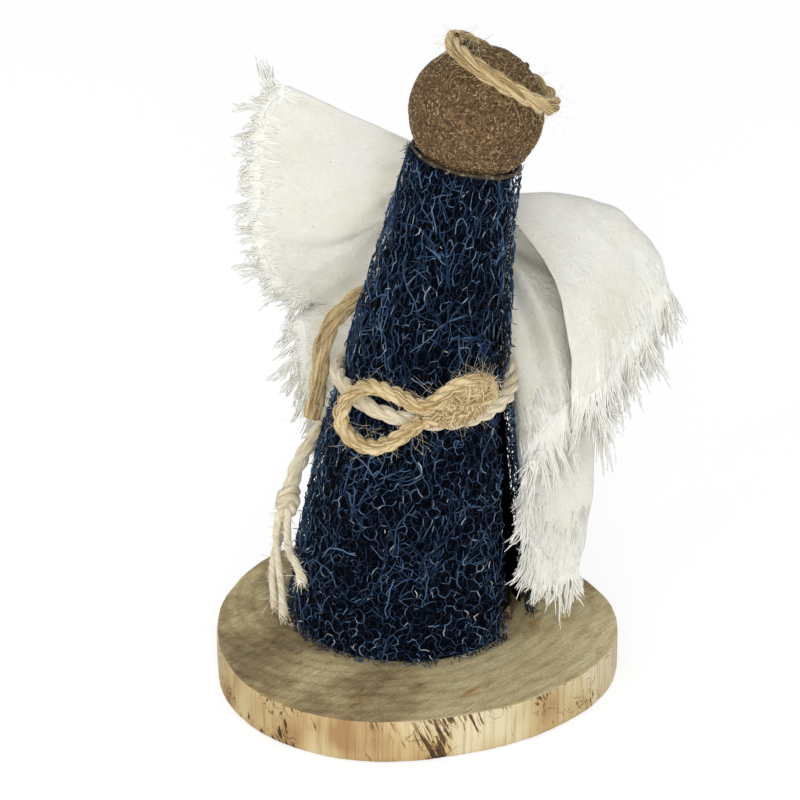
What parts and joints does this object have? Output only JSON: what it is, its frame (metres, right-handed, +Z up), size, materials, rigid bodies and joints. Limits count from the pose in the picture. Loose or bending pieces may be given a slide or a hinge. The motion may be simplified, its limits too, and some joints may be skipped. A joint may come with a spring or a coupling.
{
  "type": "angel figurine",
  "caption": "Handmade angel ornament: leaning loofah robe on a round wood slice, blank ball head, jute halo and bow, cord belt with a hanging tail, fringed cloth wings.",
  "frame": {"origin": "middle of the wood slice's underside", "axes": "+Z up, the figure's front faces -Y, and +X is to the right of someone looking at its front"},
  "size_m": [0.1432, 0.1357, 0.2123],
  "materials": {
    "branch_wood": "sawn, unvarnished",
    "navy_loofah": "dyed plant fibre, matt",
    "brown_fibre": "pressed fibre, matt",
    "jute_twine": "twisted, hairy",
    "cotton_cord": "twisted, unbleached",
    "muslin": "plain weave, unbleached",
    "clear_glue": "hot-melt glue, cloudy"
  },
  "bodies": {
    "figure": {"wood_base": "branch_wood", "robe_wrap": "navy_loofah", "foot_glue_bead": "clear_glue", "head_ball": "brown_fibre", "neck_glue_bead": "clear_glue", "halo_ring": "jute_twine", "halo_glue_dab_1": "clear_glue", "halo_glue_dab_2": "clear_glue", "halo_glue_dab_3": "clear_glue", "belt_cord": "cotton_cord", "belt_knot": "cotton_cord", "belt_tail": "cotton_cord", "tail_knot": "cotton_cord", "tail_strand_front": "cotton_cord", "tail_strand_left": "cotton_cord", "tail_strand_back": "cotton_cord", "jute_bow": "jute_twine", "bow_glue_dab": "clear_glue", "wing_glue_pad": "clear_glue", "wing_gather": "muslin", "wing_binding": "jute_twine", "binding_tail": "jute_twine"},
    "left_wing": {"left_wing_cloth": "muslin"},
    "right_wing": {"right_wing_cloth": "muslin"}
  },
  "joints": [
    {"name": "left_wing_swing", "type": "hinge", "parent": "figure", "child": "left_wing", "pos_m": [0.00055, 0.04022, 0.1528], "axis": [0, 0, -1], "range_deg": [-10, 40]},
    {"name": "right_wing_swing", "type": "hinge", "parent": "figure", "child": "right_wing", "pos_m": [0.02315, 0.04022, 0.1418], "axis": [0, 0, 1], "range_deg": [0, 45]}
  ]
}
